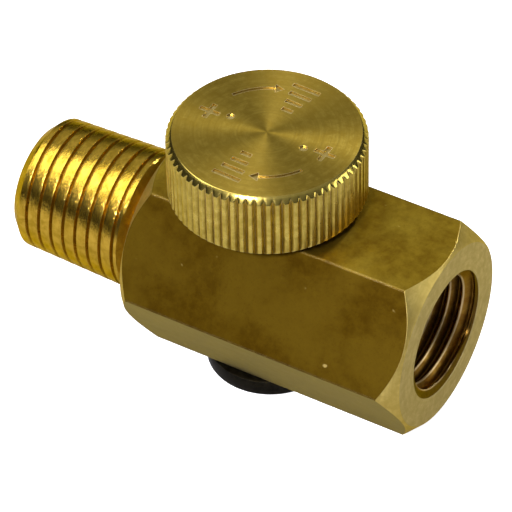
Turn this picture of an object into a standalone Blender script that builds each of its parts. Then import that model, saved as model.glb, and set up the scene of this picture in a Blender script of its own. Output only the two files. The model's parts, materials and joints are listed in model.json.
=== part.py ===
"""In-line needle valve: hexagonal brass body, tapered pipe threads, knurled knob.

Units are metres, +Z up. The male thread points to -X, the female port to +X
and the knob to +Z. The lengths below are in millimetres from the point where
the flow axis (along X) meets the stem axis (along Z). Each point is moved by
ORIGIN and scaled by MM once, when it is placed, so that the part stands on
Z = 0 with the middle of its length and width at the origin.
"""
import math

import bmesh
import bpy
from mathutils import Vector

MM = 0.001
ORIGIN = Vector((-3.125, 0.0, -11.60))

# Hexagonal bar, 3/4 inch across flats, with turned ends
HEX_FLATS = 19.05
SHOULDER_X = -11.15
PORT_FACE_X = 19.35
SHOULDER_RING_R = 9.40
PORT_RING_R = 9.35

# 1/4-18 taper pipe thread, 1:16 on the diameter
PIPE_PITCH = 25.4 / 18.0
PIPE_SLOPE = 1.0 / 32.0
MALE_END_X = -25.60
MALE_CREST_R = 6.63
MALE_HEIGHT = 0.50
MALE_END_RING_R = 5.60
MALE_NECK_R = 5.85
MALE_NECK_LENGTH = 1.15
MALE_BORE_R = 3.75
MALE_BORE_DEPTH_X = -7.20
FEMALE_MAJOR_R = 6.70
FEMALE_HEIGHT = 1.00
FEMALE_THREAD_DEPTH = 11.2
FEMALE_COUNTERSINK_R = 6.75
FEMALE_DRILL_R = 5.50
FEMALE_DRILL_X = 7.60

# Flow passages, offset above and below the seat
PASSAGE_R = 1.00
OUTLET_Z = 1.70
INLET_Z = -2.60

# Gland bush, screwed into the top flat
BUSH_PITCH = 1.00
BUSH_R = 4.40
BUSH_HEAD_FLATS = 10.0
BUSH_HEAD_LOW = 9.60
BUSH_HEAD_TOP = 11.30
BUSH_NOSE_Z = 3.00
BUSH_BORE_R = 2.95
SEAL_COUNTERBORE_R = 5.00
SEAL_COUNTERBORE_DEPTH = 1.20

# Stem, 10-32 thread, drawn half a turn above shut
STEM_PITCH = 25.4 / 32.0
STEM_R = 2.40
STEM_TOP_Z = 14.80
STEM_THREAD_LOW = 6.40
STEM_THREAD_TOP = 11.80
STEM_TOP_R = 2.30
NEEDLE_R = 1.60
NEEDLE_TIP_R = 0.30
NEEDLE_TIP_Z = -1.42
NEEDLE_SHOULDER_Z = 2.48

# Seat
SEAT_TOP_Z = 0.50
SEAT_LOW_Z = -1.60
SEAT_R = 3.15
SEAT_ORIFICE_R = 1.10

# Knob
KNOB_R = 9.56
KNOB_ROOT_R = 9.22
KNOB_FACE_R = 9.00
KNOB_LOW_Z = 10.15
KNOB_TOP_Z = 17.20
KNOB_CHAMFER = 0.60
KNOB_TEETH = 70
KNOB_RECESS_R = 6.30
KNOB_RECESS_Z = 11.90
KNOB_BORE_R = 2.42
KNOB_BORE_Z = 15.00
SET_SCREW_Z = 13.50
SET_SCREW_R = 1.15

# Bottom plug
PLUG_PITCH = 1.00
PLUG_R = 4.20
PLUG_HEAD_R = 6.30
PLUG_HEAD_TOP = -9.60
PLUG_HEAD_LOW = -11.60
PLUG_NOSE_Z = -5.05
PLUG_SOCKET_FLATS = 4.0

THREAD_GAP = 0.09
STEM_THREAD_GAP = 0.13
ROUND_STEPS = 24

# Corners of one pitch, as shares of it: root end, crest start, crest end
MALE_SHAPE = (0.02, 0.22, 0.80)
FEMALE_SHAPE = (0.10, 0.50, 0.60)
SCREW_SHAPE = (0.25, 0.5625, 0.6875)
SCREW_HEIGHT_SHARE = 0.541


def clear_scene():
    for item in list(bpy.data.objects):
        bpy.data.objects.remove(item, do_unlink=True)


def make_material(name, colour, metallic, roughness):
    mat = bpy.data.materials.new(name)
    mat.use_nodes = True
    shader = mat.node_tree.nodes["Principled BSDF"]
    shader.inputs["Base Color"].default_value = (*colour, 1.0)
    shader.inputs["Metallic"].default_value = metallic
    shader.inputs["Roughness"].default_value = roughness
    return mat


def profile_share(phase, shape):
    """Height of a thread at a phase of its pitch: 0 at the root, 1 at the crest."""
    root_end, crest_start, crest_end = shape
    if phase < root_end:
        return 0.0
    if phase < crest_start:
        return (phase - root_end) / (crest_start - root_end)
    if phase < crest_end:
        return 1.0
    return 1.0 - (phase - crest_end) / (1.0 - crest_end)


class Lathe:
    """Builds one closed body round an axis from rings and helical threads."""

    def __init__(self, steps, along="Z"):
        self.steps = steps
        self.along = along
        self.verts = []
        self.faces = []
        self.first = None
        self.last = None

    def place(self, radius, angle, height):
        a = radius * math.cos(angle)
        b = radius * math.sin(angle)
        point = (a, b, height) if self.along == "Z" else (height, a, b)
        self.verts.append((Vector(point) - ORIGIN) * MM)
        return len(self.verts) - 1

    def join(self, ring):
        if self.last is None:
            self.first = ring
        else:
            count = self.steps
            for i in range(count):
                j = (i + 1) % count
                self.face(self.last[i], self.last[j], ring[j], ring[i])
        self.last = ring

    def face(self, *corners):
        kept = []
        for corner in corners:
            if corner not in kept:
                kept.append(corner)
        if len(kept) > 2:
            self.faces.append(kept)

    def ring(self, radius, height):
        """A circle, or the single point on the axis when the radius is zero."""
        if radius < 1e-6:
            ring = [self.place(0.0, 0.0, height)] * self.steps
        else:
            turn = 2.0 * math.pi / self.steps
            ring = [self.place(radius, turn * i, height) for i in range(self.steps)]
        self.join(ring)

    def thread(self, low, high, pitch, base, shape, radius, rising=True):
        """A right-hand thread between two heights; radius(height, share) sizes it."""
        keys = (0.0,) + shape
        per_turn = len(keys)
        first_turn = math.floor((low - base) / pitch) - 2
        last_turn = math.ceil((high - base) / pitch) + 1
        columns = []
        for i in range(self.steps):
            angle = 2.0 * math.pi * i / self.steps
            lead = i / self.steps
            known = {}
            column = []
            for turn in range(first_turn, last_turn + 1):
                for key in keys:
                    height = base + pitch * (turn + key + lead)
                    height = min(max(height, low), high)
                    phase = ((height - base) / pitch - lead + 1e-9) % 1.0
                    share = profile_share(phase, shape)
                    label = round(height, 6)
                    if label not in known:
                        size = radius(height, share)
                        known[label] = self.place(size, angle, height)
                    column.append(known[label])
            columns.append(column)
        bottom = [column[0] for column in columns]
        top = [column[-1] for column in columns]
        self.join(bottom if rising else top)
        rows = len(columns[0])
        for i in range(self.steps):
            here = columns[i]
            after = columns[(i + 1) % self.steps]
            shift = per_turn if i == self.steps - 1 else 0
            for row in range(rows - 1):
                a = after[min(row + shift, rows - 1)]
                b = after[min(row + 1 + shift, rows - 1)]
                self.face(here[row], a, b, here[row + 1])
            for row in range(shift):
                self.face(here[0], after[row], after[row + 1])
        self.last = top if rising else bottom

    def finish(self, name, material=None, loop=False):
        """Closes the body: back to its first ring, or with a flat face at each end."""
        if loop:
            self.join(self.first)
        mesh = bpy.data.meshes.new(name)
        bm = bmesh.new()
        points = [bm.verts.new(v) for v in self.verts]
        for face in self.faces:
            try:
                bm.faces.new([points[k] for k in face])
            except ValueError:
                pass
        if not loop:
            for ring in (self.first, self.last):
                if ring[0] != ring[1]:
                    bm.faces.new([points[k] for k in ring])
        return finish_mesh(bm, mesh, name, material)


def finish_mesh(bm, mesh, name, material):
    bmesh.ops.remove_doubles(bm, verts=bm.verts, dist=1e-8)
    loose = [v for v in bm.verts if not v.link_faces]
    bmesh.ops.delete(bm, geom=loose, context="VERTS")
    bmesh.ops.recalc_face_normals(bm, faces=bm.faces)
    bm.to_mesh(mesh)
    bm.free()
    if material:
        mesh.materials.append(material)
    item = bpy.data.objects.new(name, mesh)
    bpy.context.scene.collection.objects.link(item)
    return item


def lathe(name, profile, steps=ROUND_STEPS, along="Z", material=None, loop=False):
    tool = Lathe(steps, along)
    for radius, height in profile:
        tool.ring(radius, height)
    return tool.finish(name, material, loop)


def prism(name, outline, low, high, along="Z", material=None):
    """A straight bar with the given outline between two heights."""
    bm = bmesh.new()
    rings = []
    for height in (low, high):
        ring = []
        for a, b in outline:
            point = {"Z": (a, b, height), "X": (height, a, b), "Y": (b, height, a)}[along]
            ring.append(bm.verts.new((Vector(point) - ORIGIN) * MM))
        rings.append(ring)
    count = len(outline)
    for i in range(count):
        j = (i + 1) % count
        bm.faces.new((rings[0][i], rings[0][j], rings[1][j], rings[1][i]))
    bm.faces.new(rings[0])
    bm.faces.new(rings[1])
    mesh = bpy.data.meshes.new(name)
    return finish_mesh(bm, mesh, name, material)


def hexagon(flats, turned=0.0):
    radius = flats / math.sqrt(3.0)
    angles = [math.radians(60.0 * i + turned) for i in range(6)]
    return [(radius * math.cos(a), radius * math.sin(a)) for a in angles]


def circle(radius, steps, centre=(0.0, 0.0)):
    turn = 2.0 * math.pi / steps
    return [
        (centre[0] + radius * math.cos(turn * i), centre[1] + radius * math.sin(turn * i))
        for i in range(steps)
    ]


def combine(item, tool, operation):
    """Applies one boolean to a body and drops the tool."""
    tool.hide_render = True
    tool.display_type = "WIRE"
    modifier = item.modifiers.new(operation.lower(), "BOOLEAN")
    modifier.operation = operation
    modifier.solver = "EXACT"
    modifier.object = tool
    graph = bpy.context.evaluated_depsgraph_get()
    made = bpy.data.meshes.new_from_object(item.evaluated_get(graph))
    item.modifiers.clear()
    old = item.data
    item.data = made
    made.name = old.name
    bpy.data.meshes.remove(old)
    bpy.data.objects.remove(tool, do_unlink=True)


def tidy(item):
    """Joins points that a boolean left on top of each other."""
    bm = bmesh.new()
    bm.from_mesh(item.data)
    bmesh.ops.remove_doubles(bm, verts=bm.verts, dist=2e-6)
    bmesh.ops.dissolve_degenerate(bm, edges=bm.edges, dist=1e-6)
    bmesh.ops.recalc_face_normals(bm, faces=bm.faces)
    bm.to_mesh(item.data)
    bm.free()


def ring_seal(name, centre_r, tube_r, height, material, tube_steps=8):
    """An O-ring lying flat at a height."""
    tool = Lathe(ROUND_STEPS)
    for k in range(tube_steps):
        angle = 2.0 * math.pi * k / tube_steps
        tool.ring(centre_r + tube_r * math.cos(angle), height + tube_r * math.sin(angle))
    return tool.finish(name, material, loop=True)


def hex_bar(name, material):
    """Hexagonal bar along X whose corners are turned down to a circle at both ends."""
    per_flat = 8
    half = HEX_FLATS / 2.0
    tool = Lathe(6 * per_flat, "X")
    angles = []
    for i in range(6 * per_flat):
        flat = i // per_flat
        along_flat = -1.0 + 2.0 * (i % per_flat) / per_flat
        angles.append(math.radians(30.0 + 60.0 * flat) + math.atan(along_flat / math.sqrt(3.0)))
    reach = [
        half / math.cos((a - math.radians(30.0) + math.pi / 6.0) % (math.pi / 3.0) - math.pi / 6.0)
        for a in angles
    ]
    tool.join([tool.place(SHOULDER_RING_R, a, SHOULDER_X) for a in angles])
    tool.join(
        [
            tool.place(r, a, SHOULDER_X + (r - SHOULDER_RING_R))
            for r, a in zip(reach, angles)
        ]
    )
    tool.join(
        [tool.place(r, a, PORT_FACE_X - (r - PORT_RING_R)) for r, a in zip(reach, angles)]
    )
    tool.join([tool.place(PORT_RING_R, a, PORT_FACE_X) for a in angles])
    return tool.finish(name, material)


def male_nipple():
    """Tapered male pipe thread with a chamfered start and a plain neck."""
    thread_end = SHOULDER_X - MALE_NECK_LENGTH

    def radius(x, share):
        crest = MALE_CREST_R + PIPE_SLOPE * (x - MALE_END_X)
        full = crest - MALE_HEIGHT * (1.0 - share)
        start = MALE_END_RING_R + 1.0 * (x - MALE_END_X)
        run_out = MALE_NECK_R + 1.4 * (thread_end - x)
        return min(full, start, max(run_out, MALE_NECK_R))

    tool = Lathe(ROUND_STEPS + 2, "X")
    tool.ring(0.0, MALE_END_X)
    tool.thread(
        MALE_END_X, thread_end, PIPE_PITCH, MALE_END_X, MALE_SHAPE, radius
    )
    tool.ring(MALE_NECK_R, thread_end + 0.01)
    tool.ring(MALE_NECK_R, SHOULDER_X + 1.2)
    tool.ring(0.0, SHOULDER_X + 1.2)
    return tool.finish("nipple")


def female_port():
    """What a drill, a countersink and a tapered tap take out of the +X end."""
    thread_low = PORT_FACE_X - FEMALE_THREAD_DEPTH

    def radius(x, share):
        major = FEMALE_MAJOR_R - PIPE_SLOPE * (PORT_FACE_X - x)
        full = major - FEMALE_HEIGHT * (1.0 - share)
        sink = FEMALE_COUNTERSINK_R - (PORT_FACE_X - x)
        run_out = FEMALE_DRILL_R + 1.2 * (x - thread_low)
        return max(min(full, run_out), sink, FEMALE_DRILL_R)

    tool = Lathe(ROUND_STEPS + 2, "X")
    tool.ring(0.0, FEMALE_DRILL_X - FEMALE_DRILL_R * 0.6)
    tool.ring(FEMALE_DRILL_R, FEMALE_DRILL_X)
    tool.thread(
        thread_low, PORT_FACE_X + 0.6, PIPE_PITCH, thread_low, FEMALE_SHAPE, radius
    )
    tool.ring(0.0, PORT_FACE_X + 0.6)
    return tool.finish("port")


def male_bore():
    tip = MALE_BORE_DEPTH_X + MALE_BORE_R * 0.6
    profile = [
        (0.0, MALE_END_X - 1.0),
        (MALE_BORE_R + 1.3, MALE_END_X - 1.0),
        (MALE_BORE_R, MALE_END_X + 0.3),
        (MALE_BORE_R, MALE_BORE_DEPTH_X),
        (0.0, tip),
    ]
    return lathe("bore", profile, along="X")


def screw_radius(crest, pitch, gap=0.0):
    height = SCREW_HEIGHT_SHARE * pitch
    return lambda z, share: crest + gap - height * (1.0 - share)


def top_bore():
    """Threaded pocket for the gland bush and the chamber above the seat."""
    flat = HEX_FLATS / 2.0
    ledge = flat - SEAL_COUNTERBORE_DEPTH
    tool = Lathe(ROUND_STEPS)
    tool.ring(0.0, 0.30)
    tool.ring(2.40, 0.30)
    tool.ring(2.40, BUSH_NOSE_Z - 0.25)
    tool.ring(3.90, BUSH_NOSE_Z - 0.25)
    tool.ring(3.90, 4.40)
    tool.thread(
        4.40, ledge, BUSH_PITCH, 4.50, SCREW_SHAPE,
        screw_radius(BUSH_R, BUSH_PITCH, THREAD_GAP),
    )
    tool.ring(SEAL_COUNTERBORE_R, ledge)
    tool.ring(SEAL_COUNTERBORE_R, flat + 1.0)
    tool.ring(0.0, flat + 1.0)
    return tool.finish("top_bore")


def bottom_bore():
    """Seat pocket, lower chamber and the threaded hole for the plug."""
    flat = -HEX_FLATS / 2.0
    ledge = flat + SEAL_COUNTERBORE_DEPTH
    tool = Lathe(ROUND_STEPS)
    tool.ring(0.0, flat - 1.0)
    tool.ring(SEAL_COUNTERBORE_R, flat - 1.0)
    tool.ring(SEAL_COUNTERBORE_R, ledge)
    tool.thread(
        ledge, -4.90, PLUG_PITCH, -8.20, SCREW_SHAPE,
        screw_radius(PLUG_R, PLUG_PITCH, THREAD_GAP),
    )
    tool.ring(3.30, -4.90)
    tool.ring(3.30, SEAT_LOW_Z - 0.05)
    tool.ring(SEAT_R + 0.06, SEAT_LOW_Z - 0.05)
    tool.ring(SEAT_R + 0.06, SEAT_TOP_Z + 0.05)
    tool.ring(0.0, SEAT_TOP_Z + 0.05)
    return tool.finish("bottom_bore")


def build_body(material):
    body = hex_bar("body", material)
    combine(body, male_nipple(), "UNION")
    combine(body, female_port(), "DIFFERENCE")
    combine(body, male_bore(), "DIFFERENCE")
    combine(body, top_bore(), "DIFFERENCE")
    combine(body, bottom_bore(), "DIFFERENCE")
    outlet = prism("outlet", circle(PASSAGE_R, 16, (0.0, OUTLET_Z)), 1.0, 7.0, "X")
    combine(body, outlet, "DIFFERENCE")
    inlet = prism("inlet", circle(PASSAGE_R, 16, (0.0, INLET_Z)), -7.4, -1.0, "X")
    combine(body, inlet, "DIFFERENCE")
    tidy(body)
    return body


def build_gland_bush(material):
    """Hex-headed bush: outer thread to the body, inner thread to the stem."""
    neck = HEX_FLATS / 2.0 - SEAL_COUNTERBORE_DEPTH
    shank = Lathe(ROUND_STEPS)
    shank.ring(0.0, BUSH_NOSE_Z)
    shank.ring(3.70, BUSH_NOSE_Z)
    shank.ring(3.70, 4.50)
    shank.thread(
        4.50, neck - 0.12, BUSH_PITCH, 4.50, SCREW_SHAPE,
        screw_radius(BUSH_R, BUSH_PITCH),
    )
    shank.ring(3.65, neck - 0.12)
    shank.ring(3.65, BUSH_HEAD_LOW + 0.4)
    shank.ring(0.0, BUSH_HEAD_LOW + 0.4)
    bush = shank.finish("gland_bush", material)
    head = prism(
        "head", hexagon(BUSH_HEAD_FLATS), BUSH_HEAD_LOW, BUSH_HEAD_TOP, "Z", material
    )
    combine(bush, head, "UNION")
    bore = Lathe(20)
    bore.ring(0.0, BUSH_NOSE_Z - 0.5)
    bore.ring(BUSH_BORE_R, BUSH_NOSE_Z - 0.5)
    bore.ring(BUSH_BORE_R, 8.40)
    bore.thread(
        8.40, BUSH_HEAD_TOP + 0.4, STEM_PITCH, STEM_THREAD_LOW, SCREW_SHAPE,
        screw_radius(STEM_R, STEM_PITCH, STEM_THREAD_GAP),
    )
    bore.ring(0.0, BUSH_HEAD_TOP + 0.4)
    combine(bush, bore.finish("bush_bore"), "DIFFERENCE")
    tidy(bush)
    return bush


def build_stem(material):
    """Needle, seal groove, stop-ring groove, thread and plain end for the knob."""
    tool = Lathe(20)
    tool.ring(0.0, NEEDLE_TIP_Z)
    tool.ring(NEEDLE_TIP_R, NEEDLE_TIP_Z)
    tool.ring(NEEDLE_R, NEEDLE_SHOULDER_Z)
    tool.ring(NEEDLE_R, 3.30)
    tool.ring(2.75, 3.30)
    tool.ring(2.75, 3.60)
    tool.ring(1.75, 3.60)
    tool.ring(1.75, 5.30)
    tool.ring(2.75, 5.30)
    tool.ring(2.75, 5.60)
    tool.ring(1.90, 5.60)
    tool.ring(1.90, STEM_THREAD_LOW)
    tool.thread(
        STEM_THREAD_LOW, STEM_THREAD_TOP, STEM_PITCH, STEM_THREAD_LOW, SCREW_SHAPE,
        screw_radius(STEM_R, STEM_PITCH),
    )
    tool.ring(STEM_TOP_R, STEM_THREAD_TOP)
    tool.ring(STEM_TOP_R, STEM_TOP_Z - 0.3)
    tool.ring(STEM_TOP_R - 0.3, STEM_TOP_Z)
    tool.ring(0.0, STEM_TOP_Z)
    stem = tool.finish("stem", material)
    cut = prism("flat", [(-3.0, 2.05), (3.0, 2.05), (3.0, 4.0), (-3.0, 4.0)], 12.3, 16.0)
    combine(stem, cut, "DIFFERENCE")
    tidy(stem)
    return stem


def build_knob(material):
    """Round knob with a straight knurl, a recess over the bush and a blind bore."""
    count = 2 * KNOB_TEETH
    tool = Lathe(count)
    turn = 2.0 * math.pi / count

    def knurl(height):
        radii = [KNOB_R if i % 2 == 0 else KNOB_ROOT_R for i in range(count)]
        tool.join([tool.place(radii[i], turn * i, height) for i in range(count)])

    tool.ring(KNOB_ROOT_R - 0.10, KNOB_LOW_Z)
    knurl(KNOB_LOW_Z + 0.32)
    knurl(KNOB_TOP_Z - KNOB_CHAMFER)
    tool.ring(KNOB_FACE_R, KNOB_TOP_Z)
    knob = tool.finish("knob", material)
    profile = [
        (0.0, KNOB_LOW_Z - 1.0),
        (KNOB_RECESS_R, KNOB_LOW_Z - 1.0),
        (KNOB_RECESS_R, KNOB_RECESS_Z),
        (KNOB_BORE_R, KNOB_RECESS_Z),
        (KNOB_BORE_R, KNOB_BORE_Z),
        (0.0, KNOB_BORE_Z + 0.6),
    ]
    combine(knob, lathe("recess", profile), "DIFFERENCE")
    hole = circle(SET_SCREW_R + 0.08, 16, (SET_SCREW_Z, 0.0))
    combine(knob, prism("hole", hole, 1.0, KNOB_R + 1.0, "Y"), "DIFFERENCE")
    tidy(knob)
    return knob


def build_set_screw(material):
    """Socket set screw, its point against the flat on the stem."""
    outline = circle(SET_SCREW_R, 16, (SET_SCREW_Z, 0.0))
    screw = prism("knob_set_screw", outline, 2.15, 8.20, "Y", material)
    socket = [(a + SET_SCREW_Z, b) for a, b in hexagon(1.27)]
    combine(screw, prism("socket", socket, 6.60, 9.0, "Y"), "DIFFERENCE")
    tidy(screw)
    return screw


def build_seat(material):
    profile = [
        (SEAT_ORIFICE_R, SEAT_LOW_Z + 0.3),
        (SEAT_ORIFICE_R + 0.4, SEAT_LOW_Z),
        (SEAT_R, SEAT_LOW_Z),
        (SEAT_R, SEAT_TOP_Z),
        (SEAT_ORIFICE_R, SEAT_TOP_Z),
    ]
    return lathe("seat_insert", profile, material=material, loop=True)


def build_plug(material):
    """Round-headed plug with a hexagonal socket, screwed in from below."""
    ledge = -HEX_FLATS / 2.0 + SEAL_COUNTERBORE_DEPTH
    tool = Lathe(ROUND_STEPS + 8)
    tool.ring(0.0, PLUG_HEAD_LOW)
    tool.ring(PLUG_HEAD_R - 0.35, PLUG_HEAD_LOW)
    tool.ring(PLUG_HEAD_R, PLUG_HEAD_LOW + 0.35)
    tool.ring(PLUG_HEAD_R, PLUG_HEAD_TOP - 0.15)
    tool.ring(PLUG_HEAD_R - 0.15, PLUG_HEAD_TOP)
    tool.ring(3.60, PLUG_HEAD_TOP)
    tool.ring(3.60, ledge + 0.12)
    tool.thread(
        ledge + 0.12, PLUG_NOSE_Z - 0.4, PLUG_PITCH, -8.20, SCREW_SHAPE,
        screw_radius(PLUG_R, PLUG_PITCH),
    )
    tool.ring(3.60, PLUG_NOSE_Z - 0.4)
    tool.ring(3.20, PLUG_NOSE_Z)
    tool.ring(0.0, PLUG_NOSE_Z)
    plug = tool.finish("bottom_plug", material)
    socket = prism("socket", hexagon(PLUG_SOCKET_FLATS), PLUG_HEAD_LOW - 1.0, -9.00)
    combine(plug, socket, "DIFFERENCE")
    tidy(plug)
    return plug


def main():
    clear_scene()
    brass = make_material("brass", (0.55, 0.40, 0.16), 1.0, 0.38)
    turned = make_material("turned_brass", (0.62, 0.46, 0.20), 1.0, 0.28)
    steel = make_material("stainless_steel", (0.60, 0.60, 0.60), 1.0, 0.25)
    dark = make_material("blackened_steel", (0.03, 0.03, 0.03), 0.6, 0.45)
    rubber = make_material("black_rubber", (0.02, 0.02, 0.02), 0.0, 0.70)
    plastic = make_material("white_plastic", (0.80, 0.80, 0.78), 0.0, 0.50)

    build_body(brass)
    build_gland_bush(brass)
    ring_seal("gland_bush_o_ring", 4.33, 0.55, 8.96, rubber)
    build_seat(plastic)
    build_plug(dark)
    ring_seal("bottom_plug_o_ring", 4.33, 0.55, -8.96, rubber)
    ring_seal("stem_o_ring", 2.34, 0.53, 4.22, rubber)
    backup = [(1.85, 4.85), (2.85, 4.85), (2.85, 5.22), (1.85, 5.22)]
    lathe("stem_backup_ring", backup, material=plastic, loop=True)
    build_stem(steel)
    stop = [(1.97, 5.67), (2.80, 5.67), (2.80, 6.28), (1.97, 6.28)]
    lathe("stem_stop_ring", stop, material=steel, loop=True)
    build_knob(turned)
    build_set_screw(dark)


main()
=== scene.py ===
"""Looks for the in-line needle valve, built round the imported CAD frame.

Lengths are in millimetres and are scaled once, by MM, when a point is placed.
"""

import json
import math

import bmesh
import bpy
from mathutils import Matrix, Vector


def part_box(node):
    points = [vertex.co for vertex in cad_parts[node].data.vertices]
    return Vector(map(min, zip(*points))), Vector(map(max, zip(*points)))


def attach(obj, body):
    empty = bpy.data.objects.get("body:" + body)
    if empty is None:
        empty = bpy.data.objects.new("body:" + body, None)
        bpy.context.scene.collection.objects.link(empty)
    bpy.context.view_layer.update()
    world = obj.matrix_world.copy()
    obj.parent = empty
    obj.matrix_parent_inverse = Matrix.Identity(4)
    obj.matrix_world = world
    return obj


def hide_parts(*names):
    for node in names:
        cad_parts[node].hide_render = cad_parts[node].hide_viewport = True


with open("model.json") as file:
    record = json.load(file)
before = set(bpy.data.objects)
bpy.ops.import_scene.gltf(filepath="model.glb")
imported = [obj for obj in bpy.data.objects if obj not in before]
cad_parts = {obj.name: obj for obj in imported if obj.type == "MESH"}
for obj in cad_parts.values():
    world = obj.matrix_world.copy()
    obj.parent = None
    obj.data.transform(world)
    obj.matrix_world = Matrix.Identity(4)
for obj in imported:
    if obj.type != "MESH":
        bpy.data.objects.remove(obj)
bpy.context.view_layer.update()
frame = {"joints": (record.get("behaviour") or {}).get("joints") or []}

MM = 0.001
TAU = 2.0 * math.pi
SIXTH = math.pi / 3.0
INSET = 0.01  # how far the finer knob stays inside the CAD box


def axis_crossing():
    """Where the stem axis meets the flow axis, in millimetres."""
    hinge = next(joint for joint in frame["joints"] if joint["name"] == "knob_turn")
    low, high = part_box("body")
    centre = (hinge["pos_m"][0], hinge["pos_m"][1], (low[2] + high[2]) / 2.0)
    return Vector([round(value / MM, 3) for value in centre])


SHIFT = axis_crossing()


def extent(node, axis, inset=0.0):
    """Where a CAD node begins and ends along an axis, from the axis crossing."""
    low, high = (corner[axis] / MM - SHIFT[axis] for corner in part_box(node))
    return round(low + inset, 3), round(high - inset, 3)


MALE_END_X, PORT_FACE_X = extent("body", 0)
HALF_FLATS = extent("body", 2)[1]
SHOULDER_X = -11.15
SHOULDER_RING_R = 9.40
PORT_RING_R = 9.35
EDGE_ROUND = 0.28
SHARP_BODY = 20.0  # edges above this many degrees stay crisp

PIPE_PITCH = 25.4 / 18.0
PIPE_SLOPE = 1.0 / 32.0
MALE_CREST_R = 6.63
MALE_HEIGHT = 0.36
MALE_END_RING_R = 5.60
MALE_NECK_R = 5.85
MALE_NECK_LENGTH = 1.15
FEMALE_MAJOR_R = 6.46
FEMALE_HEIGHT = 0.80
FEMALE_DEPTH = 11.2
FEMALE_SINK_R = 6.46
FEMALE_DRILL_R = 5.50
FEMALE_DRILL_X = 7.60
PASSAGE_R = 1.0

SCREW_PITCH = 1.0
SCREW_DEPTH = 0.541  # of the pitch
SCREW_PLAY = 0.09
BUSH_THREAD_R = 4.4
BUSH_TOP = extent("gland_bush", 2)[1]
BUSH_HALF_FLATS = extent("gland_bush", 1)[1]
PLUG_THREAD_R = 4.2
PLUG_HEAD_R = extent("bottom_plug", 1)[1]
PLUG_FOOT = extent("bottom_plug", 2)[0]
PLUG_KEY = 4.0
SEAL_R, SEAL_TUBE, SEAL_Z = 4.33, 0.54, 8.96

STEM_PITCH = 25.4 / 32.0
STEM_THREAD_R = 2.4
STEM_THREAD_Z = 6.4
STEM_PLAY = 0.13
KNOB_R = extent("knob", 1, INSET)[1]
KNOB_ROOT_R = 9.27
KNOB_FOOT_R = 9.18
KNOB_FACE_R = 8.98
KNOB_LOW, KNOB_TOP = extent("knob", 2, INSET)
KNOB_CROWN = 0.62  # height of the chamfer above the knurl's crests
KNOB_TEETH = 70
TOOTH_STEPS = 10
SHARP_KNOB = 28.0
SET_SCREW_Y = extent("knob_set_screw", 1)
SET_SCREW_Z = sum(extent("knob_set_screw", 2)) / 2.0
SET_SCREW_R = 1.15
SET_SCREW_KEY = 1.27

MARK_DEPTH = 0.15
ARROW_R, ARROW_WIDTH = 6.25, 0.30
BAR_WIDTH = 0.46

CAMERA_TURN, CAMERA_RISE, CAMERA_ROLL = 31.1, 43.3, -1.26
CAMERA_ASIDE, CAMERA_LIFT, CAMERA_AWAY = -1.287, 0.936, 385.1
CAMERA_LENS = 281.25
LIGHT_AWAY = 420.0

# Key corners of one thread pitch as (share of the pitch, share of the height)
MALE_SHAPE = [
    (0.00, 0.0), (0.03, 0.0), (0.07, 0.30), (0.12, 0.80), (0.16, 0.95), (0.22, 0.99),
    (0.38, 1.0), (0.52, 1.0), (0.66, 1.0), (0.82, 0.99), (0.88, 0.95), (0.95, 0.30),
]
FEMALE_SHAPE = [
    (0.00, 0.0), (0.05, 0.02), (0.12, 0.14), (0.30, 0.54), (0.48, 0.94), (0.54, 1.0),
    (0.62, 1.0), (0.68, 0.94), (0.80, 0.54), (0.95, 0.08),
]
SCREW_SHAPE = [
    (0.0, 0.0), (0.22, 0.0), (0.27, 0.06), (0.40, 0.5), (0.54, 0.95), (0.58, 1.0),
    (0.67, 1.0), (0.71, 0.95), (0.84, 0.5), (0.97, 0.06),
]


def even(count):
    """Angles evenly spread round an axis."""
    return [TAU * i / count for i in range(count)]


def shape_share(phase, shape):
    """Share of the thread's height at a phase of its pitch."""
    for k, (start, low) in enumerate(shape):
        end, high = shape[k + 1] if k + 1 < len(shape) else (1.0, shape[0][1])
        if phase <= end:
            return low + (high - low) * max(0.0, phase - start) / (end - start)
    return shape[0][1]


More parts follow.
